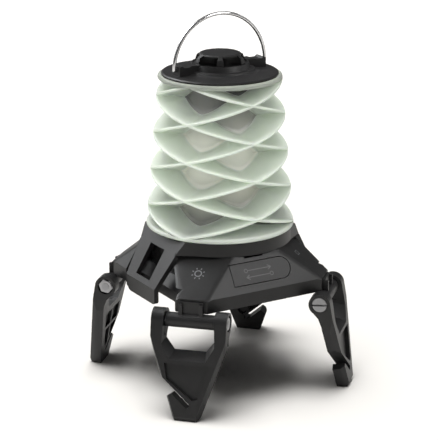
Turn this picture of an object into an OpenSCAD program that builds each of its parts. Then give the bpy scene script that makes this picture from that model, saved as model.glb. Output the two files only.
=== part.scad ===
// Collapsible camping lantern on four folding hook legs.
// Axes: origin on the ground under the middle, Z up, the USB flap faces -Y, strap brackets on +X and -X.

/* [Base housing] */
// Half of the width across the flat skirt
base_half = 47.3; // [46:0.1:50]
// Height of the line where the skirt meets the sloped faces
shoulder_z = 62; // [61:0.5:63]
// Height of the lower edge of the skirt
skirt_z = 54.7; // [54:0.1:56]
// Height of the flat top of the housing
roof_z = 79.1; // [78:0.1:80]
// Lean of the four wide faces from the vertical, degrees
face_lean = 31; // [28:0.5:33]
// Lean of the four corner faces from the vertical, degrees
corner_lean = 51.9; // [48:0.1:54]
// Wall thickness
wall = 2.2; // [1.6:0.1:2.6]

/* [Legs] */
// Distance of the leg hinges from the middle
hinge_r = 59.7; // [59:0.1:62]
// Height of the leg hinges
hinge_z = 50.8; // [50.8:0.1:52]
// Outward lean of a leg standing open, degrees
leg_lean = 10; // [6:0.5:12]
// Radius of the round hinge end of a leg
leg_boss_r = 5.9; // [5.5:0.1:6]
// Radius of the hinge screw shank
pin_r = 2; // [1.5:0.1:2.2]
// Width of the cord slot in a foot
slot_w = 2.7; // [2:0.1:3.2]

/* [Globe] */
// Outer radius of the globe at its bottom rim
globe_bottom_r = 40; // [38:0.1:42]
// Outer radius of the globe at its top rim
globe_top_r = 33.2; // [32.8:0.1:35]
// Height of the middle of the bottom rim
globe_z0 = 87.65; // [87.65:0.05:87.65]
// Height of the middle of the top rim
globe_z1 = 168.1; // [168.1:0.1:168.1]
// Fold depth of the globe as a share of its radius
fold_share = 0.43; // [0.3:0.01:0.46]

/* [Cap and bail] */
// Radius of the cap disc
cap_r = 31.2; // [30.8:0.1:31.6]
// Height of the top of the cap knob
knob_z = 180.6; // [179:0.1:183]
// Height of the bail hinge
bail_z = 173.6; // [173:0.1:174.5]
// Radius of the bail arch to the middle of its wire
bail_r = 27.75; // [27.6:0.05:29]
// Thickness of the bail wire
bail_wire_d = 1.9; // [1.4:0.1:2.1]

/* [Hidden] */

$fn = 96;
tiny = 0.01;
far = 200;

// plastic colours
black = [0.10, 0.10, 0.11];
dark = [0.16, 0.16, 0.17];
steel = [0.72, 0.73, 0.75];
silicone = [0.78, 0.86, 0.76];
board_green = [0.10, 0.32, 0.20];

corner_r = 58.55;                        // corner flats of the skirt, from the middle
front_left = -135;
front_right = -45;
back_right = 45;
back_left = 135;
corners = [front_left, front_right, back_right, back_left];

// ---------- frames ----------

// X points out of a plane that leans back by lean and faces azimuth az; the origin lies on the axis
module facing(az, lean) { translate([0, 0, shoulder_z]) rotate([0, -lean, az]) children(); }

// on a wide face: X out of the face, Y along it, Z up the slope, origin on the shoulder line
module on_face(az) {
    rotate([0, 0, az]) translate([base_half, 0, shoulder_z]) rotate([0, -face_lean, 0]) children();
}

// on an open leg: X outward, Y along the hinge, Z up the leg, origin on the hinge axis
module on_leg(az) {
    rotate([0, 0, az]) translate([hinge_r, 0, hinge_z]) rotate([0, -leg_lean, 0]) children();
}

// an outline drawn in Y and Z, made solid from x0 to x1
module slab(x0, x1) { translate([x0, 0, 0]) rotate([90, 0, 90]) linear_extrude(x1 - x0) children(); }

// a rod along Y from y0 to y1
module rod_y(r, y0, y1) { translate([0, y1, 0]) rotate([90, 0, 0]) cylinder(r = r, h = y1 - y0); }

// a rod along X from x0 to x1
module rod_x(r, x0, x1) { translate([x0, 0, 0]) rotate([0, 90, 0]) cylinder(r = r, h = x1 - x0); }

// ---------- housing ----------

// eight-sided block with leaning faces, set in from the outside by inset
module base_block(inset, z0, z1) {
    h = base_half - inset;
    c = (corner_r - inset) * sqrt(2) - h;
    ridge_side = 18.6;                   // the ridge strips lie this far round from the wide faces
    ridge_lean = 43.6;
    ridge_d = 40.12;
    difference() {
        translate([0, 0, z0]) linear_extrude(z1 - z0)
            polygon([[h, -c], [h, c], [c, h], [-c, h], [-h, c], [-h, -c], [-c, -h], [c, -h]]);
        for (a = [0 : 90 : 270]) {
            facing(a, face_lean) translate([base_half * cos(face_lean) - inset, -80, -80])
                cube([60, 160, 160]);
            facing(a + 45, corner_lean) translate([corner_r * cos(corner_lean) - inset, -80, -80])
                cube([60, 160, 160]);
            for (s = [-1, 1]) facing(a + s * ridge_side, ridge_lean)
                translate([ridge_d - inset, -80, -80]) cube([60, 160, 160]);
        }
    }
}

strap_wall_x = 35.6;                     // back wall of the strap recess, on the X axis
strap_wall_r = 60;                       // its curve

// the hollow behind a strap bracket, on the +X side, deeper toward the flap side
module strap_recess(grow, floor_z) {
    difference() {
        slab(20, 60) polygon([[-35.2 - grow, floor_z - grow], [-34.4 - grow, shoulder_z + 0.5],
            [-20.4 - grow, 73.6 + grow / 2], [-20.4 - grow, roof_z + 1], [20.4 + grow, roof_z + 1],
            [20.4 + grow, floor_z - grow]]);
        translate([strap_wall_x - strap_wall_r - grow, 0, 0]) cylinder(r = strap_wall_r, h = 120, $fn = 180);
    }
}

recess_floor_z = 60.2;
flap_x0 = -17.2;                         // hinge edge of the flap
flap_x1 = 12.4;                          // centre of its round end
flap_v0 = 4.4;
flap_v1 = 15.9;
flap_t = 1.8;
flap_gap = 0.45;
flap_pin_r = 0.5;                        // round hinge edge, just under the surface

// outline of the flap on its face, Y here runs along the face toward +X
module flap_outline(grow) {
    r = (flap_v1 - flap_v0) / 2;
    translate([flap_x0 - grow / 4, flap_v0 - grow]) square([flap_x1 - flap_x0, 2 * r + 2 * grow]);
    translate([flap_x1, flap_v0 + r]) circle(r = r + grow);
}

port_y = [-7.5, 7.5];                    // middles of the two charging ports
port_w = 9.6;
port_h = 3.8;
port_v = (flap_v0 + flap_v1) / 2;
button_v = 10;
button_r = 6.3;
front_posts = [24, -33, 72];
back_posts = [34, 26, 70];
posts = [front_posts, back_posts];

module knuckle(az) {
    barrel_r = 3.9;
    barrel_half = 13;
    rotate([0, 0, az]) {
        translate([hinge_r, 0, hinge_z]) rod_y(barrel_r, -barrel_half, barrel_half);
        // web and its two upright ribs
        translate([hinge_r - 3.2, -6.4, hinge_z]) cube([3.6, 12.8, 10]);
        for (s = [-1, 1]) translate([hinge_r - 3, s * 5.5 - 1, hinge_z]) cube([5, 2, 9.2]);
    }
}

module housing() color(black) {
    difference() {
        union() {
            difference() {
                base_block(0, skirt_z, roof_z);
                // hollow inside, held off the strap recesses by one wall
                difference() {
                    base_block(wall, skirt_z - 1, roof_z - wall);
                    for (m = [0, 1]) mirror([m, 0, 0]) strap_recess(wall, recess_floor_z);
                }
                for (m = [0, 1]) mirror([m, 0, 0]) {
                    strap_recess(0, recess_floor_z);
                    // way down behind the bracket lip
                    translate([40.6, -34, skirt_z - 1]) cube([20, 50.6, 12]);
                    // arch in the skirt beside the bracket
                    translate([30, -22.5, skirt_z - 8.7]) rotate([0, 90, 0])
                        cylinder(r = 12, h = 30);
                }
            }
            // back wall of the strap way and of the arch beside it
            for (s = [-1, 1]) translate([s * 39.5 - 1.1, -36, skirt_z]) cube([2.2, 54.8, 5.4]);
            // end wall of the arch, toward the flap side corner
            for (s = [-1, 1]) translate([s * 42.9 - 3.3, -37.2, skirt_z]) cube([6.6, 2.2, 5.4]);
            // sloping foot of the recess wall
            for (m = [0, 1]) mirror([m, 0, 0]) translate([0, 18, 0]) rotate([90, 0, 0])
                linear_extrude(51.8) polygon([[34, 60], [40.6, 60], [40.6, 60.4], [36.2, 66.5], [34, 66.5]]);
            // side wall of the strap way
            for (s = [-1, 1]) translate([s * 43 - 4.2, 16.6, skirt_z + 3.4]) cube([8.4, 2.2, 3]);
            for (a = corners) knuckle(a);
            // screw posts for the cover
            for (p = posts, s = [-1, 1]) translate([s * p[0], p[1], 57.3])
                cylinder(r = 3.4, h = p[2] - 57.3);
            // thick pad behind the flap pocket
            on_face(-90) translate([-5.2, -19.4, 2.8]) cube([3.6, 38.6, 14.6]);
            // two pegs that carry the switch board
            on_face(90) for (s = [-1, 1]) translate([0, s * 10, button_v]) rod_x(1.8, -8.7, -1.6);
            // four pegs that carry the driver board
            for (x = [-20, 20], y = [-12, 24]) translate([x, y, 75.6]) cylinder(r = 1.5, h = 2, $fn = 32);
        }
        for (a = corners) rotate([0, 0, a]) translate([hinge_r, 0, hinge_z])
            rod_y(pin_r + 0.05, -20, 20);
        for (p = posts, s = [-1, 1]) translate([s * p[0], p[1], 50]) cylinder(r = 1.55, h = 15.6, $fn = 48);
        // flap pocket, its hinge seat and the two port openings
        on_face(-90) {
            slab(-flap_t - 0.2, 5) flap_outline(flap_gap);
            translate([-flap_pin_r, flap_x0, flap_v0 - flap_gap])
                cylinder(r = flap_pin_r + 0.06, h = flap_v1 - flap_v0 + 2 * flap_gap, $fn = 48);
            translate([-flap_pin_r, flap_x0 - flap_pin_r - 0.06, flap_v0 - flap_gap])
                cube([2, 2, flap_v1 - flap_v0 + 2 * flap_gap]);
            for (y = port_y) translate([-8, y - port_w / 2, port_v - port_h / 2])
                cube([8, port_w, port_h]);
        }
        on_face(90) translate([0, 0, button_v]) rod_x(button_r + 0.2, -6, 5);
        // wire hole and the latch notch under the collar
        translate([0, -20, roof_z - 5]) cylinder(r = 4, h = 8, $fn = 48);
        translate([-7.5, -45, roof_z - 1.4]) cube([11.3, 9.6, 3]);
    }
}

cover_t = 2.6;

module bottom_cover() color(dark) {
    difference() {
        base_block(wall + 0.15, skirt_z, skirt_z + cover_t);
        // kept clear of the strap ways and arches
        for (s = [-1, 1]) translate([s * 48.3 - 10, -37.35, 0]) cube([20, 56.3, 100]);
        for (p = posts, s = [-1, 1]) translate([s * p[0], p[1], skirt_z - 1]) {
            cylinder(r = 1.7, h = 6, $fn = 48);
            cylinder(r = 3, h = 2.7, $fn = 48);
        }
        // shallow grooves of the underside
        for (x = [-15 : 5 : 15]) translate([x - 1, -12, skirt_z - 1]) cube([2, 24, 1.8]);
    }
}

module cover_screws() color(steel)
    for (p = posts, s = [-1, 1]) translate([s * p[0], p[1], skirt_z + 0.2]) difference() {
        union() {
            cylinder(r = 2.8, h = 1.5, $fn = 48);
            cylinder(r = 1.5, h = 10, $fn = 48);
        }
        for (a = [0, 90]) rotate([0, 0, a]) translate([-1.6, -0.3, -1]) cube([3.2, 0.6, 1.8]);
    }

// ---------- collar with the two strap brackets ----------

collar_r = 39;
collar_in_r = 33;
collar_top_z = 86.3;
bracket_x = 49.6;                        // front of the bracket at its lower fold
bracket_fold_z = 61;
bracket_t = 2.6;

module bracket_plate() {
    translate([bracket_x, 0, bracket_fold_z]) rotate([0, -face_lean, 0]) slab(-bracket_t, 1)
        difference() {
            polygon([[-15.7, 0], [-19.2, 20.4], [-15.9, 27.6], [-14, 29.6], [14, 29.6],
                     [15.9, 27.6], [19.2, 20.4], [15.7, 0]]);
            translate([-7.5, 3]) square([15, 18.3]);
        }
    // upright lip under the fold, with one large and one small round corner
    translate([bracket_x - bracket_t, 0, 0]) slab(0, bracket_t) {
        translate([-15.7, 54.5]) square([31.4, 6.9]);
        translate([-13.7, 52.5]) square([24.4, 6]);
        translate([-13.7, 54.5]) circle(r = 2, $fn = 48);
        translate([10.7, 57.5]) circle(r = 5, $fn = 64);
    }
    // cheeks that tie the plate to the ring
    for (s = [-1, 1]) translate([0, s * 15.6 - 1.7, 0]) rotate([90, 0, 0])
        translate([0, 0, -3.4]) linear_extrude(3.4)
            polygon([[33, roof_z + 0.1], [38.2, roof_z + 0.1], [34.6, collar_top_z], [33, collar_top_z]]);
}

module collar_ring() color(black) {
    difference() {
        union() {
            translate([0, 0, roof_z]) cylinder(r = collar_r, h = collar_top_z - roof_z, $fn = 180);
            for (m = [0, 1]) mirror([m, 0, 0]) difference() {
                bracket_plate();
                translate([0, 0, collar_top_z]) cylinder(r = 60, h = 20);
            }
            // flats of the ring on both sides of each bracket
            for (x = [-1, 1], y = [-1, 1]) translate([0, 0, roof_z]) linear_extrude(collar_top_z - roof_z)
                polygon([[x * 38.5, y * 19.2], [x * 29.4, y * 25.6], [x * 26, y * 22], [x * 34, y * 13]]);
        }
        translate([0, 0, roof_z - 1]) cylinder(r = collar_in_r, h = 20, $fn = 180);
        // flats of the ring behind the bracket faces
        for (m = [0, 1]) mirror([m, 0, 0]) translate([bracket_x, 0, bracket_fold_z])
            rotate([0, -face_lean, 0]) translate([0, -26, 0]) cube([20, 52, 60]);
    }
}

module globe_clamp_ring() color(dark)
    translate([0, 0, 87.7]) rotate_extrude() translate([30.6, 0]) square([2, 0.75]);

// ---------- light engine ----------

module heat_spreader() color([0.75, 0.76, 0.78]) difference() {
    translate([0, 0, roof_z]) cylinder(r = 32.6, h = 2);
    translate([0, -20, roof_z - 1]) cylinder(r = 3, h = 4, $fn = 48);
}

led_z = roof_z + 2;

module led_board() color([0.92, 0.93, 0.92]) translate([0, 0, led_z]) cylinder(r = 18.8, h = 1.6);

module led_chips() color([0.98, 0.90, 0.55])
    for (ring = [[6, 5], [12.5, 10]], i = [0 : ring[1] - 1])
        rotate([0, 0, i * 360 / ring[1]]) translate([ring[0] - 1.5, -1.5, led_z + 1.6])
            cube([3, 3, 0.8]);

module lens_dome() color([0.95, 0.96, 0.94]) {
    out_r = 29;                          // sphere of the dome
    out_c = 96.5 - out_r;
    rotate_extrude() difference() {
        union() {
            translate([19.2, led_z]) square([10.8, 1.4]);
            translate([0, led_z]) square([20.5, 7]);
            intersection() {
                translate([0, out_c]) circle(r = out_r, $fn = 180);
                translate([0, 88 - 0.1]) square([20.5, 20]);
            }
        }
        translate([-1, led_z - 1]) square([20.2, 7.9]);
        intersection() {
            translate([0, out_c]) circle(r = out_r - 1.4, $fn = 180);
            translate([-1, 87.5]) square([20.2, 20]);
        }
        translate([-50, 0]) square([50, 200]);
    }
}

// ---------- power ----------

cell_r = 7.1;
cell_z = 65.7;
cell_y = [-6, 9, 24];
cell_x0 = -26;
cell_len = 48.5;

module battery_holder() color(dark) difference() {
    translate([-29, -14.5, skirt_z + cover_t]) cube([58, 47, 9]);
    for (y = cell_y) translate([0, y, cell_z]) rod_x(cell_r, -27.5, 27.5);
    translate([-27.5, -13.4, 60]) cube([55, 44.8, 20]);
}

module battery_cells() color([0.20, 0.42, 0.62]) for (y = cell_y) translate([0, y, cell_z]) {
    rod_x(cell_r, cell_x0, cell_x0 + cell_len);
    rod_x(2.8, cell_x0 - 1, cell_x0 + 1);
}

module contact_springs() color(steel) for (y = cell_y)
    translate([cell_x0 + cell_len, y, cell_z]) rotate([0, 90, 0]) rotate_extrude($fn = 48)
        polygon([[1.6, 0], [2.6, 0], [3.2, 1], [2.8, 1.6], [3.8, 2.6], [3.4, 3.2], [4.6, 4.5],
                 [3.8, 4.5], [2.4, 3.2], [2.8, 2.6], [1.9, 1.6], [2.2, 1]]);

module contact_plates() color([0.80, 0.78, 0.70]) {
    for (x = [-27.5, cell_x0 + cell_len + 4.5], y = cell_y)
        translate([x, y - 6, cell_z - 5]) cube([0.5, 12, 11]);
}

module driver_board() color(board_green) {
    translate([-24, -16, 74.2]) cube([48, 44, 1.4]);
    translate([-6, -12, 73.4]) cube([8, 8, 0.8]);
    translate([8, 14, 73.4]) cube([6, 5, 0.8]);
}

port_depth = 5.2;                        // the board and sockets start this far behind the face

module port_board() color(board_green) on_face(-90)
    translate([-port_depth - 11, -17, port_v - 3.3]) cube([11, 34, 1.6]);

module usb_sockets() color(steel) on_face(-90)
    for (y = port_y) translate([-port_depth - 7.4, y - 4.5, port_v - 1.7]) difference() {
        cube([7.4, 9, 3.4]);
        translate([1, 0.4, 0.4]) cube([8, 8.2, 2.6]);
    }

module button_board() color(board_green) on_face(90)
    translate([-10.2, -11, button_v - 6]) cube([1.5, 22, 12]);

module tact_switch() color(dark) on_face(90) {
    translate([-8.7, -3, button_v - 3]) cube([2.6, 6, 6]);
    translate([0, 0, button_v]) rod_x(1.6, -6.2, -5.2);
}

module power_button() color([0.22, 0.22, 0.23]) on_face(90) translate([0, 0, button_v]) {
    difference() {
        union() {
            rod_x(button_r, -4, 1);
            rod_x(button_r + 1.1, -4, -2.6);
        }
        // shallow finger dish
        translate([14.5, 0, 0]) sphere(r = 14.2, $fn = 96);
    }
}

module port_flap() color([0.13, 0.13, 0.14]) on_face(-90) {
    slab(-flap_t, 0) flap_outline(0);
    translate([-flap_pin_r, flap_x0, flap_v0])
        cylinder(r = flap_pin_r, h = flap_v1 - flap_v0, $fn = 48);
}

// ---------- legs ----------

arm_in = 13.2;                           // inner and outer faces of the two hinge arms
arm_out = 20.2;
leg_front_x = 5.9;
leg_back_x = -1;

module mirror_pair(points) polygon(concat(points,
    [for (i = [len(points) - 1 : -1 : 0]) [-points[i][0], points[i][1]]]));

module leg_form() {
    difference() {
        union() {
            // tapering blade with its edges drawn in toward the front
            hull() {
                slab(leg_back_x, 3.2)
                    mirror_pair([[arm_out, -8.5], [19.4, -15], [7.8, -48.4], [7.3, -50.4], [5.6, -53.6]]);
                slab(3.2, leg_front_x)
                    mirror_pair([[arm_out, -8.5], [17.9, -15], [6.2, -47.6], [5.8, -50], [4.6, -53.6]]);
            }
            for (s = [-1, 1]) {
                slab(leg_back_x, leg_front_x) polygon([[s * arm_in, 0], [s * arm_out, 0],
                    [s * arm_out, -8.5], [s * 19.9, -9], [s * 14, -9]]);
                rod_y(leg_boss_r, s > 0 ? arm_in : -arm_out, s > 0 ? arm_out : -arm_in);
                // gusset from the round end into the back of the arm
                translate([0, s > 0 ? arm_out : -arm_in, 0]) rotate([90, 0, 0])
                    linear_extrude(arm_out - arm_in)
                        polygon([[-5.3, -2.6], [-3.2, -5.6], [-1.9, -7.6], [leg_back_x, -12],
                                 [1, -6], [1, 0]]);
            }
        }
        // opening between the arms, wider at the front
        hull() {
            slab(leg_back_x - 0.5, leg_back_x) mirror_pair([[arm_in, 8], [arm_in, -9.2], [8.4, -15.4]]);
            slab(leg_front_x, leg_front_x + 0.5) mirror_pair([[arm_in, 8], [14.3, -12.4], [9.8, -20.4]]);
        }
        // front pocket
        slab(leg_front_x - 2, leg_front_x + 1)
            polygon([[-12.2, -22.3], [12.2, -22.3], [6.4, -40], [3.6, -41.2], [-10.6, -30.8]]);
        // ribbed hollow in the back
        difference() {
            slab(leg_back_x - 1, leg_back_x + 1.6)
                polygon([[-12.8, -19.5], [12.8, -19.5], [5.4, -40.6], [3.4, -42], [-11.4, -31]]);
            slab(leg_back_x - 2, leg_back_x + 3) {
                translate([-0.8, -45]) square([1.6, 30]);
                translate([-15, -30]) square([30, 1.6]);
            }
        }
        // cord slot, open toward the left edge, with a round inner end
        slab(-10, 10) translate([0.9, -43.9]) {
            circle(r = slot_w / 2, $fn = 48);
            rotate(138.6) translate([0, -slot_w / 2]) square([30, slot_w]);
        }
        // blunt tip of the hook
        slab(-10, 10) polygon([[-7.7, -38.1], [-11.5, -40.63], [-26, -38], [-26, -20.2], [-7, -36.95]]);
        // screw way, head seat and nut seat
        rod_y(pin_r + 0.05, -30, 30);
        rod_y(4.2, -30, 2.1 - arm_out);
        rod_y(4.3, arm_out - 2.9, 30);
        // drawn-in toe
        translate([leg_front_x - 1, 0, -51.9]) rotate([0, 30, 0]) translate([0, -20, -12]) cube([10, 40, 15]);
    }
}

module leg(az) color(black) difference() {
    on_leg(az) leg_form();
    translate([-far / 2, -far / 2, -20]) cube([far, far, 20]);
}

module hinge_screw(az) color(steel) on_leg(az) difference() {
    union() {
        rod_y(3.9, 0.2 - arm_out, 2.1 - arm_out);
        rod_y(pin_r, 2 - arm_out, arm_out - 0.1);
    }
    rotate([0, 6, 0]) translate([-5, -0.8 - arm_out, -0.6]) cube([10, 2.1, 1.2]);
}

module hinge_nut(az) color(steel) on_leg(az) difference() {
    union() {
        translate([0, arm_out - 0.8, 0]) rotate([90, 0, 0]) cylinder(r = 4.04, h = 2.1, $fn = 6);
        rod_y(3.3, arm_out - 0.9, arm_out - 0.3);
    }
    rod_y(pin_r + 0.02, 0, 30);
}

// ---------- globe ----------

globe_h = globe_z1 - globe_z0;
folds = 8;
half_step = globe_h / (2 * folds);
skin = 4.2;                              // the folds lie nearly flat, so the skin is thick along the radius

function globe_rim(z) = globe_bottom_r + (globe_top_r - globe_bottom_r) * (z - globe_z0) / globe_h;
function fold_r(i) = i % 2 == 0 ? globe_rim(globe_z0 + i * half_step) - 0.3
                                : globe_rim(globe_z0 + i * half_step) * (1 - fold_share);
outer_line = [for (i = [0 : 2 * folds]) [fold_r(i), globe_z0 + i * half_step]];
inner_line = [for (i = [2 * folds : -1 : 0])
    [fold_r(i) - (i % 2 == 0 ? skin : 1.2), globe_z0 + i * half_step]];
rim_bead = 1.35;

module globe() color(silicone) rotate_extrude($fn = 144) {
    polygon(concat(outer_line, inner_line));
    for (i = [2 : 2 : 2 * folds - 2]) translate([fold_r(i) - 0.6, globe_z0 + i * half_step])
        circle(r = 0.9, $fn = 24);
    translate([globe_bottom_r - rim_bead, globe_z0]) circle(r = rim_bead, $fn = 32);
    translate([globe_top_r - rim_bead, globe_z1]) circle(r = rim_bead, $fn = 32);
    // flanges held by the collar and the cap
    translate([30.6, globe_z0 - rim_bead]) square([8, 1.4]);
    translate([24, globe_z1 - 1.4]) square([8, 1.4]);
}

// ---------- cap ----------

lug_x0 = 14;
lug_x1 = 26.4;
lug_half = 3.6;
lug_top = 176.2;
boss_z = 175;

module cap_lug() difference() {
    translate([0, lug_half, 0]) rotate([90, 0, 0]) linear_extrude(2 * lug_half)
        polygon([[lug_x0, 169.6], [lug_x0, lug_top - 0.4], [19, lug_top - 0.4], [20.5, lug_top - 1],
                 [23.5, lug_top - 1], [25, lug_top], [lug_x1, lug_top - 0.5], [lug_x1, 169.6]]);
    translate([0, 0, bail_z]) rod_x(bail_wire_d / 2 + 0.06, 21.5, 40);
}

module top_cap() color(black) {
    difference() {
        rotate_extrude($fn = 180) polygon([[0, knob_z], [10.2, knob_z], [10.9, knob_z - 0.3],
            [13.4, knob_z - 2], [14.1, boss_z + 1.6], [14.2, boss_z], [14.6, boss_z + 0.5],
            [15.3, boss_z + 0.5], [15.6, boss_z - 0.2], [16.4, 172.7], [18.4, 172.3],
            [18.9, 171.6], [20.6, 171], [23, 170.75], [30.6, 170.55],
            [cap_r, 170.1], [cap_r, 169.5], [30.3, 169.5], [30.3, globe_z1], [0, globe_z1]]);
        // six scooped pockets round the knob, a rib left between each two
        intersection() {
            difference() {
                for (a = [30 : 60 : 330]) rotate([0, 0, a]) translate([13.2, 0, boss_z])
                    cylinder(r = 5.4, h = 10);
                translate([0, 0, knob_z - 1.3]) cylinder(r = 11.2, h = 5);
            }
            cylinder(r = 14.2, h = 300);
        }
        // hollow of the knob
        translate([0, 0, globe_z1 - 1]) cylinder(r = 9, h = 6.4);
        translate([0, 0, globe_z1 - 1]) cylinder(r = 6.4, h = 11.4);
        for (a = [30 : 60 : 330]) rotate([0, 0, a]) translate([20, 0, globe_z1 - 1])
            cylinder(r = 1.1, h = 3, $fn = 32);
    }
    for (a = [0, 180]) rotate([0, 0, a]) difference() {
        cap_lug();
        translate([0, 0, globe_z1]) cylinder(r = 12, h = 20);
    }
}

module cap_inner_plate() color(dark) difference() {
    translate([0, 0, globe_z1 - 1.8]) cylinder(r = 23.6, h = 1.8);
    for (a = [30 : 60 : 330]) rotate([0, 0, a]) translate([20, 0, globe_z1 - 3]) {
        cylinder(r = 1.15, h = 5, $fn = 32);
    }
}

module cap_reflector() color([0.85, 0.86, 0.88])
    translate([0, 0, 161.6]) cylinder(r1 = 5, r2 = 16.4, h = globe_z1 - 1.8 - 161.6);

module cap_screws() color(steel) for (a = [30 : 60 : 330]) rotate([0, 0, a])
    translate([20, 0, globe_z1 - 1.8]) {
        translate([0, 0, -0.9]) cylinder(r = 1.9, h = 0.9, $fn = 32);
        cylinder(r = 1.05, h = 3.4, $fn = 32);
    }

module bail_wire() color([0.85, 0.86, 0.88]) {
    translate([0, 0, bail_z]) rotate([90, 0, 0]) rotate_extrude(angle = 180, $fn = 144)
        translate([bail_r, 0]) circle(d = bail_wire_d, $fn = 32);
    for (s = [-1, 1]) translate([0, 0, bail_z]) {
        rod_x(bail_wire_d / 2, s > 0 ? 22 : -bail_r, s > 0 ? bail_r : -22);
        translate([s * bail_r, 0, 0]) sphere(d = bail_wire_d, $fn = 32);
    }
}

// ---------- the parts by name ----------

housing();
bottom_cover();
cover_screws();
collar_ring();
globe_clamp_ring();
heat_spreader();
led_board();
led_chips();
lens_dome();
battery_holder();
battery_cells();
contact_springs();
contact_plates();
driver_board();
port_board();
usb_sockets();
button_board();
tact_switch();
power_button();
port_flap();
leg(front_left);  // leg_front_left
leg(front_right);  // leg_front_right
leg(back_right);  // leg_back_right
leg(back_left);  // leg_back_left
hinge_screw(front_left);  // screw_front_left
hinge_screw(front_right);  // screw_front_right
hinge_screw(back_right);  // screw_back_right
hinge_screw(back_left);  // screw_back_left
hinge_nut(front_left);  // nut_front_left
hinge_nut(front_right);  // nut_front_right
hinge_nut(back_right);  // nut_back_right
hinge_nut(back_left);  // nut_back_left
globe();
top_cap();
cap_inner_plate();
cap_reflector();
cap_screws();
bail_wire();
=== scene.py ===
import math

import bmesh
import bpy
from mathutils import Matrix, Vector


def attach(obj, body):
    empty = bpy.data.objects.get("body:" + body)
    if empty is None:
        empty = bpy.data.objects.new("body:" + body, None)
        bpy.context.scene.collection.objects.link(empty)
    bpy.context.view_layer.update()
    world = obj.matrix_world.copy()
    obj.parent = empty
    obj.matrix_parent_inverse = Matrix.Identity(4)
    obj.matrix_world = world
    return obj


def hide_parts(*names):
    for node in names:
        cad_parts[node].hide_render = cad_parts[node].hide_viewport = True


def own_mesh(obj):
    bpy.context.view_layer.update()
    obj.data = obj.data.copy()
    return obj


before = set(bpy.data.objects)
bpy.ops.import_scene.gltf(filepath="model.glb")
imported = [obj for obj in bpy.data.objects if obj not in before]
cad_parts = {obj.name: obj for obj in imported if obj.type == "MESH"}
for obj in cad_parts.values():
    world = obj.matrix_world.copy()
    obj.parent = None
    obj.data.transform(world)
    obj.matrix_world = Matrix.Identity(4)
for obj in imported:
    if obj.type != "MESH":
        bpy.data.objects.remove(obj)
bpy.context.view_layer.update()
MM = 0.001


# ---------------------------------------------------------------- materials

class Nodes:
    """Short hand for one material's node tree."""

    def __init__(self, name):
        self.mat = bpy.data.materials.new(name)
        self.mat.use_nodes = True
        self.tree = self.mat.node_tree
        self.tree.nodes.clear()
        self.out = self.add("ShaderNodeOutputMaterial")
        self.coord = self.add("ShaderNodeTexCoord").outputs["Object"]

    def add(self, kind, **values):
        n = self.tree.nodes.new(kind)
        for k, v in values.items():
            if hasattr(n, k):
                setattr(n, k, v)
            else:
                n.inputs[k.replace("_", " ")].default_value = v
        return n

    def link(self, a, b):
        self.tree.links.new(a, b)

    def noise(self, scale, detail=2.0, rough=0.5):
        n = self.add("ShaderNodeTexNoise")
        n.inputs["Scale"].default_value = scale
        n.inputs["Detail"].default_value = detail
        n.inputs["Roughness"].default_value = rough
        self.link(self.coord, n.inputs["Vector"])
        return n.outputs["Fac"]

    def ramp(self, fac, stops):
        r = self.add("ShaderNodeValToRGB")
        e = r.color_ramp.elements
        while len(e) > len(stops):
            e.remove(e[-1])
        while len(e) < len(stops):
            e.new(0.5)
        for i, (p, c) in enumerate(stops):
            e[i].position = p
            e[i].color = tuple(c) + (1.0,) if len(c) == 3 else c
        self.link(fac, r.inputs["Fac"])
        return r.outputs["Color"]

    def span(self, fac, lo, hi, to_lo, to_hi):
        m = self.add("ShaderNodeMapRange")
        for k, v in (("From Min", lo), ("From Max", hi), ("To Min", to_lo), ("To Max", to_hi)):
            m.inputs[k].default_value = v
        self.link(fac, m.inputs["Value"])
        return m.outputs["Result"]

    def bump(self, height, distance, strength=1.0, normal=None):
        b = self.add("ShaderNodeBump")
        b.inputs["Strength"].default_value = strength
        b.inputs["Distance"].default_value = distance
        self.link(height, b.inputs["Height"])
        if normal is not None:
            self.link(normal, b.inputs["Normal"])
        return b.outputs["Normal"]

    def principled(self):
        p = self.add("ShaderNodeBsdfPrincipled")
        self.link(p.outputs["BSDF"], self.out.inputs["Surface"])
        return p


def moulded(name, tone, rough, grain=0.00022, depth=0.000012, spec=0.5, edge=0.0):
    """Moulded plastic with a spark-eroded grain, slightly uneven in tone and in gloss, with an optional
    painted highlight that lightens sharp convex edges.
    """
    m = Nodes(name)
    p = m.principled()
    cloud = m.noise(38, 4, 0.6)
    low = [c * 0.82 for c in tone]
    high = [c * 1.2 for c in tone]
    colour = m.ramp(cloud, [(0.35, low), (0.65, high)])
    if edge:
        # painted highlight: sharp convex edges, found by pointiness, are mixed toward a lighter grey
        geo = m.add("ShaderNodeNewGeometry")
        painted_edge_highlight = m.span(geo.outputs["Pointiness"], 0.53, 0.62, 0.0, edge)
        mix = m.add("ShaderNodeMix", data_type="RGBA")
        m.link(painted_edge_highlight, mix.inputs[0])
        m.link(colour, mix.inputs[6])
        mix.inputs[7].default_value = (tone[0] * 3 + 0.02, tone[1] * 3 + 0.02, tone[2] * 3 + 0.02, 1)
        colour = mix.outputs[2]
    m.link(colour, p.inputs["Base Color"])
    fine = m.noise(1 / grain, 3, 0.6)
    m.link(m.span(fine, 0.3, 0.7, rough - 0.05, rough + 0.07), p.inputs["Roughness"])
    m.link(m.bump(fine, depth, 0.7), p.inputs["Normal"])
    p.inputs["Specular IOR Level"].default_value = spec
    return m.mat


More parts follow.
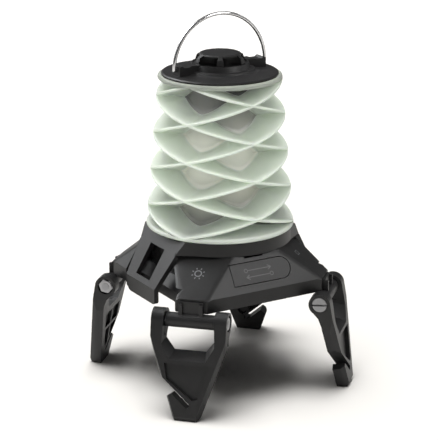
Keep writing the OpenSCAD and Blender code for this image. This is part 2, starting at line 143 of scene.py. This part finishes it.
def metal(name, tone, rough, scratch=900, depth=0.000004):
    """Metal with fine turning or drawing marks and uneven polish."""
    m = Nodes(name)
    p = m.principled()
    p.inputs["Metallic"].default_value = 1.0
    cloud = m.noise(160, 3)
    m.link(m.ramp(cloud, [(0.3, [c * 0.88 for c in tone]), (0.7, tone)]), p.inputs["Base Color"])
    mapping = m.add("ShaderNodeMapping")
    mapping.inputs["Scale"].default_value = (1.0, 1.0, 9.0)
    m.link(m.coord, mapping.inputs["Vector"])
    n = m.add("ShaderNodeTexNoise")
    n.inputs["Scale"].default_value = scratch
    n.inputs["Detail"].default_value = 3
    m.link(mapping.outputs["Vector"], n.inputs["Vector"])
    m.link(m.span(n.outputs["Fac"], 0.3, 0.7, max(0.03, rough - 0.06), rough + 0.1), p.inputs["Roughness"])
    m.link(m.bump(n.outputs["Fac"], depth, 0.6), p.inputs["Normal"])
    return m.mat


def board(name, tone):
    """Solder mask over faint copper tracks."""
    m = Nodes(name)
    p = m.principled()
    brick = m.add("ShaderNodeTexBrick")
    brick.inputs["Scale"].default_value = 260
    brick.inputs["Mortar Size"].default_value = 0.03
    brick.inputs["Color1"].default_value = (*tone, 1)
    brick.inputs["Color2"].default_value = (*[c * 0.9 for c in tone], 1)
    brick.inputs["Mortar"].default_value = (*[min(1, c * 1.5 + 0.01) for c in tone], 1)
    m.link(m.coord, brick.inputs["Vector"])
    m.link(brick.outputs["Color"], p.inputs["Base Color"])
    m.link(m.bump(brick.outputs["Fac"], 0.00002, 0.4), p.inputs["Normal"])
    m.link(m.span(m.noise(300), 0.3, 0.7, 0.28, 0.42), p.inputs["Roughness"])
    return m.mat


def silicone(name, tone, warm):
    """Translucent silicone: soft skin, light bleeding through the thin folds, and painted shade darkening
    the top rim.
    """
    m = Nodes(name)
    p = m.add("ShaderNodeBsdfPrincipled")
    cloud = m.noise(55, 3, 0.55)
    skin = m.ramp(cloud, [(0.35, [c * 0.96 for c in tone]), (0.65, [min(1, c * 1.03) for c in tone])])
    xyz = m.add("ShaderNodeSeparateXYZ")
    m.link(m.coord, xyz.inputs["Vector"])
    # painted shade: the band at the top rim is mixed toward grey, standing in for the dark cap seen through
    # the silicone
    rim = m.add("ShaderNodeMix", data_type="RGBA")
    m.link(m.span(xyz.outputs["Z"], 0.1655, 0.1672, 0.0, 1.0), rim.inputs[0])
    m.link(skin, rim.inputs[6])
    rim.inputs[7].default_value = (0.27, 0.285, 0.26, 1)
    m.link(rim.outputs[2], p.inputs["Base Color"])
    fine = m.noise(2600, 2)
    m.link(m.span(fine, 0.3, 0.7, 0.4, 0.5), p.inputs["Roughness"])
    normal = m.bump(fine, 0.000008, 0.5)
    m.link(normal, p.inputs["Normal"])
    p.inputs["Subsurface Weight"].default_value = 0.35
    p.inputs["Subsurface Radius"].default_value = (1.0, 1.15, 0.8)
    p.inputs["Subsurface Scale"].default_value = 0.004
    p.inputs["Specular IOR Level"].default_value = 0.35
    through = m.add("ShaderNodeBsdfTranslucent")
    through.inputs["Color"].default_value = (*warm, 1)
    mix = m.add("ShaderNodeMixShader")
    mix.inputs["Fac"].default_value = 0.5
    m.link(p.outputs["BSDF"], mix.inputs[1])
    m.link(through.outputs["BSDF"], mix.inputs[2])
    m.link(mix.outputs["Shader"], m.out.inputs["Surface"])
    return m.mat


def membrane(name, stops):
    """Thin inner skin between the folds, coloured by height: a painted glow in the middle of the globe and
    painted shade toward lamp and cap, standing in for what shows through it.
    """
    m = Nodes(name)
    p = m.principled()
    xyz = m.add("ShaderNodeSeparateXYZ")
    m.link(m.coord, xyz.inputs["Vector"])
    wander = m.add("ShaderNodeMath", operation="MULTIPLY_ADD")
    m.link(m.noise(45, 2), wander.inputs[0])
    wander.inputs[1].default_value = 0.004
    m.link(xyz.outputs["Z"], wander.inputs[2])
    # painted shade and glow: the colour follows height alone, dark toward base and cap and light in the
    # middle rows
    level = m.span(wander.outputs["Value"], 0.0877, 0.1721, 0.0, 1.0)
    m.link(m.ramp(level, stops), p.inputs["Base Color"])
    m.link(m.span(m.noise(1500), 0.3, 0.7, 0.36, 0.46), p.inputs["Roughness"])
    p.inputs["Subsurface Weight"].default_value = 0.2
    p.inputs["Subsurface Radius"].default_value = (1.0, 0.9, 0.7)
    p.inputs["Subsurface Scale"].default_value = 0.003
    return m.mat


# edge=0.07 lays a painted highlight on the sharp edges of the black plastics
BLACK = moulded("black_plastic", (0.014, 0.014, 0.0146), 0.42, spec=0.34, edge=0.07)
BLACK_CAP = moulded("black_plastic_cap", (0.0115, 0.0115, 0.012), 0.46, spec=0.36, edge=0.07)
DARK = moulded("dark_plastic", (0.03, 0.03, 0.032), 0.5)
RUBBER = moulded("soft_touch_black", (0.018, 0.018, 0.0185), 0.5, grain=0.00015)
PRINT = moulded("grey_print", (0.12, 0.12, 0.122), 0.5, grain=0.0003)
MARK = moulded("grey_mark", (0.16, 0.165, 0.175), 0.42, grain=0.0003)
STEEL = metal("bright_steel", (0.36, 0.36, 0.37), 0.33)
SCREW = metal("zinc_screw", (0.3, 0.3, 0.31), 0.36)
WIRE = metal("polished_wire", (0.78, 0.78, 0.79), 0.1, scratch=1500)
SPRING = metal("spring_steel", (0.6, 0.6, 0.58), 0.3)
ALU = metal("heat_plate", (0.72, 0.73, 0.74), 0.4)
MIRROR = metal("reflector", (0.85, 0.85, 0.86), 0.12)
GREEN = board("circuit_green", (0.02, 0.12, 0.06))
WHITE_BOARD = board("circuit_white", (0.75, 0.76, 0.75))
LENS = moulded("frosted_lens", (0.8, 0.81, 0.78), 0.4, depth=0.000006)
LED = moulded("phosphor", (0.85, 0.62, 0.12), 0.5)
CELL = moulded("cell_wrap", (0.03, 0.12, 0.3), 0.25, depth=0.000003)
GLOBE = silicone("globe_silicone", (0.765, 0.82, 0.755), (0.875, 0.915, 0.87))
# the inner skin's ramp is painted shade near base and cap and a painted glow through the middle of the
# globe
PAINTED_SHADE_SKIN = membrane("globe_membrane_painted_shade", [
    (0.02, (0.1, 0.1, 0.095)), (0.13, (0.34, 0.34, 0.32)), (0.25, (0.66, 0.645, 0.585)),
    (0.38, (0.93, 0.92, 0.84)), (0.6, (0.93, 0.92, 0.84)), (0.70, (0.48, 0.475, 0.445)),
    (0.82, (0.21, 0.21, 0.205)), (0.95, (0.16, 0.16, 0.16))])

LOOK = {
    "housing": BLACK, "collar_ring": BLACK, "bottom_cover": DARK, "top_cap": BLACK_CAP,
    "port_flap": BLACK, "power_button": RUBBER, "bail_wire": WIRE, "cover_screws": STEEL,
    "globe_clamp_ring": DARK, "heat_spreader": ALU, "led_board": WHITE_BOARD, "led_chips": LED,
    "lens_dome": LENS, "battery_holder": DARK, "battery_cells": CELL, "contact_springs": SPRING,
    "contact_plates": SPRING, "driver_board": GREEN, "port_board": GREEN, "usb_sockets": STEEL,
    "button_board": GREEN, "tact_switch": DARK, "cap_inner_plate": DARK, "cap_reflector": MIRROR,
    "cap_screws": STEEL,
}
for corner in ("front_left", "front_right", "back_right", "back_left"):
    LOOK["leg_" + corner] = BLACK
    LOOK["screw_" + corner] = SCREW
    LOOK["nut_" + corner] = STEEL
for name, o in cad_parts.items():
    look = LOOK.get(name, STEEL)
    o.data.materials.clear()
    o.data.materials.append(look)


# ---------------------------------------------------------------- softened edges on the CAD parts

def soften(node, width, angle=28, segments=2):
    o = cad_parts[node]
    for a in [a for a in o.data.attributes if a.name == "custom_normal"]:
        o.data.attributes.remove(a)
    weld = o.modifiers.new("weld", "WELD")
    weld.merge_threshold = 2e-6
    bev = o.modifiers.new("edge", "BEVEL")
    bev.width = width
    bev.segments = segments
    bev.limit_method = "ANGLE"
    bev.angle_limit = math.radians(angle)
    bev.use_clamp_overlap = True
    bev.miter_outer = "MITER_ARC"
    bev.harden_normals = False
    wn = o.modifiers.new("normals", "WEIGHTED_NORMAL")
    wn.keep_sharp = True
    wn.weight = 80
    for p in o.data.polygons:
        p.use_smooth = True


# ---------------------------------------------------------------- mesh helpers

def mesh_object(name, verts, faces, mats, indices=None, smooth=True):
    me = bpy.data.meshes.new(name)
    me.from_pydata([tuple(v) for v in verts], [], faces)
    for m in mats:
        me.materials.append(m)
    if indices is not None:
        me.polygons.foreach_set("material_index", indices)
    me.polygons.foreach_set("use_smooth", [smooth] * len(me.polygons))
    o = bpy.data.objects.new(name, me)
    bpy.context.scene.collection.objects.link(o)
    return o


def face_frame(az, lean, out):
    """Frame on a leaning face: X out of it, Y along it, Z up the slope, origin on the shoulder line."""
    a, t = math.radians(az), math.radians(lean)
    x = Vector((math.cos(a) * math.cos(t), math.sin(a) * math.cos(t), math.sin(t)))
    y = Vector((-math.sin(a), math.cos(a), 0))
    z = Vector((-math.cos(a) * math.sin(t), -math.sin(a) * math.sin(t), math.cos(t)))
    m = Matrix((x, y, z)).transposed().to_4x4()
    m.translation = Vector((out * math.cos(a), out * math.sin(a), 62)) * MM
    return m


def prisms(name, shapes, frame_matrix, mat, low=-0.05, high=0.06):
    """Closed thin solids from outlines in millimetres; a shape is (outer, inner or None)."""
    verts, faces = [], []
    for outer, inner in shapes:
        n = len(outer)
        base = len(verts)
        loops = [outer] if inner is None else [outer, inner]
        for loop in loops:
            for h in (low, high):
                verts += [frame_matrix @ Vector((h * MM, p[0] * MM, p[1] * MM)) for p in loop]
        for i in range(n):
            j = (i + 1) % n
            faces.append((base + i, base + j, base + n + j, base + n + i))
            if inner is not None:
                b2 = base + 2 * n
                faces.append((b2 + j, b2 + i, b2 + n + i, b2 + n + j))
                faces.append((base + n + i, base + n + j, b2 + n + j, b2 + n + i))
                faces.append((base + j, base + i, b2 + i, b2 + j))
        if inner is None:
            faces.append(tuple(range(base + n, base + 2 * n)))
            faces.append(tuple(reversed(range(base, base + n))))
    o = mesh_object(name, verts, faces, [mat], smooth=False)
    bm = bmesh.new()
    bm.from_mesh(o.data)
    bmesh.ops.recalc_face_normals(bm, faces=bm.faces)
    bm.to_mesh(o.data)
    bm.free()
    return o


def ring(cx, cy, r, w, n=28):
    a = [2 * math.pi * i / n for i in range(n)]
    return ([(cx + (r + w / 2) * math.cos(t), cy + (r + w / 2) * math.sin(t)) for t in a],
            [(cx + (r - w / 2) * math.cos(t), cy + (r - w / 2) * math.sin(t)) for t in a])


def bar(x0, y0, x1, y1, w):
    d = Vector((x1 - x0, y1 - y0)).normalized() * (w / 2)
    return ([(x0 + d.y, y0 - d.x), (x1 + d.y, y1 - d.x), (x1 - d.y, y1 + d.x), (x0 - d.y, y0 + d.x)], None)


# ---------------------------------------------------------------- globe

Z0, Z1, R0, R1 = 87.65, 168.1, 40.0, 33.2
PITCH = (Z1 - Z0) / 4
INNER = 0.57          # radius of the pockets' inner skin as a share of the outer radius
ROUND = 0.08          # how far the ribs' bends are rounded at the inner end of the shelves
WIDE = 0.66           # half width of a window as a share of its pocket's half width
RIB = 0.75            # half thickness of a rib's edge
BEAD = 1.3            # half thickness of the two rims


def outer_r(z):
    return R0 + (R1 - R0) * (z - Z0) / (Z1 - Z0)


def half_profile(h, t, slope, fall, deep, share, straight, arc=5, shelf=10, turn=6, wall=5):
    """Half of one pocket between two ribs, from the rib's edge (depth 0) to the pocket's middle.
    h is the half height, t the half thickness of the rib's edge, slope how soon a closing pocket grows
    shallow, fall how steeply its shelf leaves the rib, deep its full depth, share how far round the column
    lies from the pocket's middle (0 to 1); straight is set beside a rim. Gives depth, height, skin flag."""
    def bend(u):
        return 0.0 if straight else (math.hypot(share, ROUND * u) - share) * PITCH / 2

    pts = []
    for i in range(arc + 1):
        y = min(t * math.sin(math.pi / 2 * i / arc), h)
        pts.append((t * (1 - math.sqrt(max(0.0, 1 - (y / t) ** 2))), y, 0))
    d0, y0 = pts[-1][0], pts[-1][1]
    room = max(0.0, h - y0 - bend(1.0))
    # depth of the pocket, let in softly as the ribs part
    k = 2.2
    want = room / slope
    depth = (want ** -k + deep ** -k) ** (-1 / k) if want > 1e-6 else 0.0
    depth = max(depth, 0.0)
    fall = min(room, fall * depth)
    # the window is a rounded lozenge; beyond its ends the two shelves meet in a crease
    window = (room - fall) * math.sqrt(max(0.0, 1 - (share / WIDE) ** 4))
    rise = room - fall - window
    f = min(1.3, depth * 0.3, window * 0.8)        # rounding where shelf meets skin
    sag = 0.35 * min(1.0, room / 3) * min(1.0, depth / 8)
    for i in range(1, shelf + 1):
        u = i / shelf
        d = (depth - f) * u
        y = y0 + bend(u) + fall * u ** 1.25 + rise * u ** 2.2 - sag * math.sin(math.pi * u) * 0.5
        pts.append((d0 + d, min(h, y), 0))
    ys = pts[-1][1]
    lip = 0.5 * min(1.0, window / 2.0) * min(1.0, depth / 6)
    for i in range(1, turn + 1):
        a = math.pi / 2 * i / turn
        pts.append((d0 + depth - f + f * math.sin(a) - lip * math.sin(2 * a) * 0.5,
                    ys + min(f, max(0.0, h - ys)) * (1 - math.cos(a)), 1 if i > turn - 2 else 0))
    dw, yw = pts[-1][0], pts[-1][1]
    for i in range(1, wall + 1):
        u = i / wall
        pts.append((dw + 1.1 * math.sin(math.pi / 2 * u) * min(1.0, window / 4), yw + (h - yw) * u, 1))
    return pts


def build_globe(n_phi=360):
    rows, flags = [], []
    for i in range(n_phi):
        phi = -30 + 360 * i / n_phi
        s = abs(((phi + 30 + 60) % 120) - 60) / 60
        ribs = [Z1, Z1 - s * PITCH / 2]
        for k in (1, 2, 3):
            ribs += [Z1 - k * PITCH + s * PITCH / 2, Z1 - k * PITCH - s * PITCH / 2]
        ribs += [Z0 + s * PITCH / 2, Z0]
        line, flag = [], []
        # flange under the cap and the outside of the top rim
        for p in [(24.2, Z1 - 2.7), (24.2, Z1 - 0.05), (R1 - 2 * BEAD - 0.1, Z1 - 0.05)]:
            line.append(p)
            flag.append(0)
        for j in range(9):
            a = math.pi - math.pi * j / 8
            line.append((R1 - BEAD + BEAD * math.cos(a), Z1 + BEAD * math.sin(a)))
            flag.append(0)
        for g in range(9):
            top, bottom = ribs[g], ribs[g + 1]
            h = (top - bottom) / 2
            mid_z = (top + bottom) / 2
            deep = outer_r(mid_z) * (1 - INNER)
            share = s if g % 2 else 1 - s
            edge, rim = (RIB, 0.085, 0.025), (BEAD, 0.19, 0.19)
            upper = half_profile(h, *(rim if g == 0 else edge), deep, share, g == 0)
            lower = half_profile(h, *(rim if g == 8 else edge), deep, share, g == 8)
            for d, y, w in upper:
                line.append((outer_r(top - y) - d, top - y))
                flag.append(w)
            for d, y, w in reversed(lower[:-1]):
                line.append((outer_r(bottom + y) - d, bottom + y))
                flag.append(w)
        for j in range(1, 9):
            a = -math.pi * j / 8
            line.append((R0 - BEAD + BEAD * math.cos(a), Z0 + BEAD * math.sin(a)))
            flag.append(0)
        # flange under the clamp ring, then the inner lining back up to the cap
        for p in [(30.7, Z0 - 1.2), (30.7, Z0 + 0.9)]:
            line.append(p)
            flag.append(0)
        for j in range(25):
            z = Z0 + 1.3 + (Z1 - 2.9 - Z0 - 1.3) * j / 24
            line.append((outer_r(z) * INNER - 0.9, z))
            flag.append(1)
        rows.append([(r, phi, z) for r, z in line])
        flags.append(flag)
    m = len(rows[0])
    verts = []
    for row in rows:
        for r, phi, z in row:
            a = math.radians(phi)
            verts.append((r * math.cos(a) * MM, r * math.sin(a) * MM, z * MM))
    faces, idx = [], []
    for i in range(n_phi):
        i2 = (i + 1) % n_phi
        for j in range(m):
            j2 = (j + 1) % m
            faces.append((i * m + j, i * m + j2, i2 * m + j2, i2 * m + j))
            idx.append(1 if flags[i][j] and flags[i][j2] and flags[i2][j] and flags[i2][j2] else 0)
    o = mesh_object("silicone_globe", verts, faces, [GLOBE, PAINTED_SHADE_SKIN], idx)
    bm = bmesh.new()
    bm.from_mesh(o.data)
    bmesh.ops.remove_doubles(bm, verts=bm.verts, dist=2e-6)
    bmesh.ops.dissolve_degenerate(bm, edges=bm.edges, dist=1e-6)
    bmesh.ops.recalc_face_normals(bm, faces=bm.faces)
    bm.to_mesh(o.data)
    bm.free()
    return o


globe = build_globe()
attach(globe, "base")
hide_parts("globe")
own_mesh(globe)


# ---------------------------------------------------------------- prints

v_of = lambda z: (z - 62) / math.cos(math.radians(31))
flap_f = face_frame(-90, 31, 47.3)
va, vb = v_of(72.0), v_of(68.9)
shapes = [
    ring(-8.6, va, 0.95, 0.42), bar(-7.5, va, 6.4, va, 0.45),
    bar(6.75, va, 4.7, va + 1.25, 0.45), bar(6.75, va, 4.7, va - 1.25, 0.45),
    ring(6.3, vb, 0.95, 0.42), bar(5.2, vb, -8.8, vb, 0.45),
    bar(-9.2, vb, -7.1, vb + 1.25, 0.45), bar(-9.2, vb, -7.1, vb - 1.25, 0.45)]
flap_print = prisms("flap_print", shapes, flap_f, PRINT, low=-0.04, high=0.035)
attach(flap_print, "flap")

corner_f = face_frame(-135, 51.9, 58.55)
ICON_V, RAY_IN, RAY_OUT = 16.3, 2.7, 3.6         # height of the icon on its face, ends of its rays
rays = [ring(0, ICON_V, 1.75, 0.6)]
for i in range(8):
    a = math.radians(22.5 + 45 * i)
    c, t = math.cos(a), math.sin(a)
    rays.append(bar(RAY_IN * c, ICON_V + RAY_IN * t, RAY_OUT * c, ICON_V + RAY_OUT * t, 0.55))
icon = prisms("corner_icon", rays, corner_f, MARK, low=-0.04, high=0.035)
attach(icon, "base")

right_f = face_frame(-45, 51.9, 58.55)
sq = lambda h: [(-3 - h, 18.9 - h), (-3 + h, 18.9 - h), (-3 + h, 18.9 + h), (-3 - h, 18.9 + h)]
small = prisms("corner_mark", [(sq(1.5), sq(1.1))], right_f, MARK, low=-0.04, high=0.035)
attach(small, "base")


# ---------------------------------------------------------------- edges

for n in ("housing", "collar_ring", "bottom_cover"):
    soften(n, 0.00035)
for n in ("leg_front_left", "leg_front_right", "leg_back_right", "leg_back_left"):
    soften(n, 0.00035)
soften("top_cap", 0.00028)
soften("port_flap", 0.00025)
soften("power_button", 0.00025)


# ---------------------------------------------------------------- floor, light, camera

def floor_material():
    m = Nodes("floor_white")
    p = m.principled()
    m.link(m.ramp(m.noise(2.0, 2), [(0.3, (0.86, 0.855, 0.845)), (0.7, (0.88, 0.875, 0.865))]),
           p.inputs["Base Color"])
    p.inputs["Roughness"].default_value = 0.9
    p.inputs["Specular IOR Level"].default_value = 0.05
    # a glow that grows with distance and that only the camera sees keeps the far paper white
    reach = m.add("ShaderNodeVectorMath", operation="LENGTH")
    m.link(m.coord, reach.inputs[0])
    glow = m.ramp(m.span(reach.outputs["Value"], 0.0, 4.0, 0.0, 1.0),
                  [(0.025, (0, 0, 0)), (0.0625, (0.06,) * 3), (0.125, (0.2,) * 3), (0.25, (0.34,) * 3),
                   (1.0, (1, 1, 1))])
    seen_only = m.add("ShaderNodeMath", operation="MULTIPLY")
    m.link(glow, seen_only.inputs[0])
    m.link(m.add("ShaderNodeLightPath").outputs["Is Camera Ray"], seen_only.inputs[1])
    p.inputs["Emission Color"].default_value = (1, 1, 1, 1)
    m.link(seen_only.outputs["Value"], p.inputs["Emission Strength"])
    return m.mat


half, n = 6.0, 12
fv = [(-half + 2 * half * i / n, -half + 2 * half * j / n, 0) for j in range(n + 1) for i in range(n + 1)]
ff = [(j * (n + 1) + i, j * (n + 1) + i + 1, (j + 1) * (n + 1) + i + 1, (j + 1) * (n + 1) + i)
      for j in range(n) for i in range(n)]
floor = mesh_object("floor", fv, ff, [floor_material()])

AIM = Vector((0, 0, 0.0877))


def area(name, az, el, dist, size, watts, colour=(1, 1, 1), size_y=None, aim=AIM):
    d = bpy.data.lights.new(name, "AREA")
    d.energy = watts
    d.color = colour
    d.shape = "RECTANGLE"
    d.size = size
    d.size_y = size_y or size
    o = bpy.data.objects.new(name, d)
    bpy.context.scene.collection.objects.link(o)
    a, e = math.radians(az), math.radians(el)
    back = Vector((math.cos(a) * math.cos(e), math.sin(a) * math.cos(e), math.sin(e)))
    o.location = aim + back * dist
    o.rotation_euler = (-back).to_track_quat("-Z", "Y").to_euler()
    return o


top = area("overhead", 150, 84, 2.6, 1.6, 84, (1.0, 0.985, 0.96))
top.visible_glossy = False
for box in (area("front_right", -58, 38, 1.1, 0.4, 4.9, (1.0, 0.99, 0.98)),
            area("left_back", 120, 44, 1.1, 0.5, 14.0, (0.98, 0.99, 1.0)),
            area("left_low", 122, 19, 1.1, 0.4, 2.2, (0.98, 0.99, 1.0)),
            area("left_fill", -185, 16, 1.2, 0.4, 0.2, (0.97, 0.985, 1.0), size_y=0.8),
            area("right_rim", -10, 20, 1.2, 0.3, 1.2, (1, 1, 1), size_y=0.8)):
    box.visible_diffuse = False

# weak front light on the lantern alone, so its recesses keep some drawing
round_body = bpy.data.collections.new("round_body")
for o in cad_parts.values():
    round_body.objects.link(o)
fill = area("front_fill", -140, 22, 1.2, 0.8, 1.4)
fill.visible_glossy = False
fill.light_linking.receiver_collection = round_body

# soft light round the translucent globe alone
round_globe = bpy.data.collections.new("round_globe")
round_globe.objects.link(globe)
for i, (az, watts) in enumerate(((-120, 16.0), (-20, 9.0), (70, 8.5), (160, 7.5))):
    lamp = area(f"globe_soft_{i}", az, 34, 1.6, 1.3, watts, (1.0, 0.995, 0.98), aim=Vector((0, 0, 0.125)))
    lamp.light_linking.receiver_collection = round_globe

world = bpy.data.worlds.new("studio")
world.use_nodes = True
bpy.context.scene.world = world
wt = world.node_tree
wt.nodes.clear()


def sky(colour, low, high, at_low, at_high):
    """Background whose strength rises from the horizon to the top."""
    co = wt.nodes.new("ShaderNodeTexCoord")
    xyz = wt.nodes.new("ShaderNodeSeparateXYZ")
    wt.links.new(co.outputs["Generated"], xyz.inputs["Vector"])
    up = wt.nodes.new("ShaderNodeMapRange")
    for k, v in (("From Min", low), ("From Max", high), ("To Min", at_low), ("To Max", at_high)):
        up.inputs[k].default_value = v
    wt.links.new(xyz.outputs["Z"], up.inputs["Value"])
    bg = wt.nodes.new("ShaderNodeBackground")
    bg.inputs["Color"].default_value = (*colour, 1)
    wt.links.new(up.outputs["Result"], bg.inputs["Strength"])
    return bg.outputs["Background"]


w_out = wt.nodes.new("ShaderNodeOutputWorld")
w_path = wt.nodes.new("ShaderNodeLightPath")
seen = sky((1, 1, 1), -1, 1, 1.2, 1.2)
soft = sky((1.0, 0.97, 0.93), 0.7, 1.0, 0.002, 0.75)
mirrored = sky((1, 1, 1), 0.0, 1.0, 0.07, 0.25)
mix_a = wt.nodes.new("ShaderNodeMixShader")
mix_b = wt.nodes.new("ShaderNodeMixShader")
wt.links.new(w_path.outputs["Is Glossy Ray"], mix_a.inputs["Fac"])
wt.links.new(soft, mix_a.inputs[1])
wt.links.new(mirrored, mix_a.inputs[2])
wt.links.new(w_path.outputs["Is Camera Ray"], mix_b.inputs["Fac"])
wt.links.new(mix_a.outputs["Shader"], mix_b.inputs[1])
wt.links.new(seen, mix_b.inputs[2])
wt.links.new(mix_b.outputs["Shader"], w_out.inputs["Surface"])

cam_data = bpy.data.cameras.new("camera")
cam_data.sensor_width = 36
cam_data.lens = 145.0
cam = bpy.data.objects.new("camera", cam_data)
bpy.context.scene.collection.objects.link(cam)
az, el = math.radians(-30.55), math.radians(17.17)
back = Vector((math.sin(az) * math.cos(el), -math.cos(az) * math.cos(el), math.sin(el)))
cam.location = AIM + back * 0.9641
cam.rotation_mode = "QUATERNION"
cam.rotation_quaternion = (-back).to_track_quat("-Z", "Y")
cam_data.clip_start, cam_data.clip_end = 0.02, 60
bpy.context.scene.camera = cam
bpy.context.scene.view_settings.view_transform = "Standard"
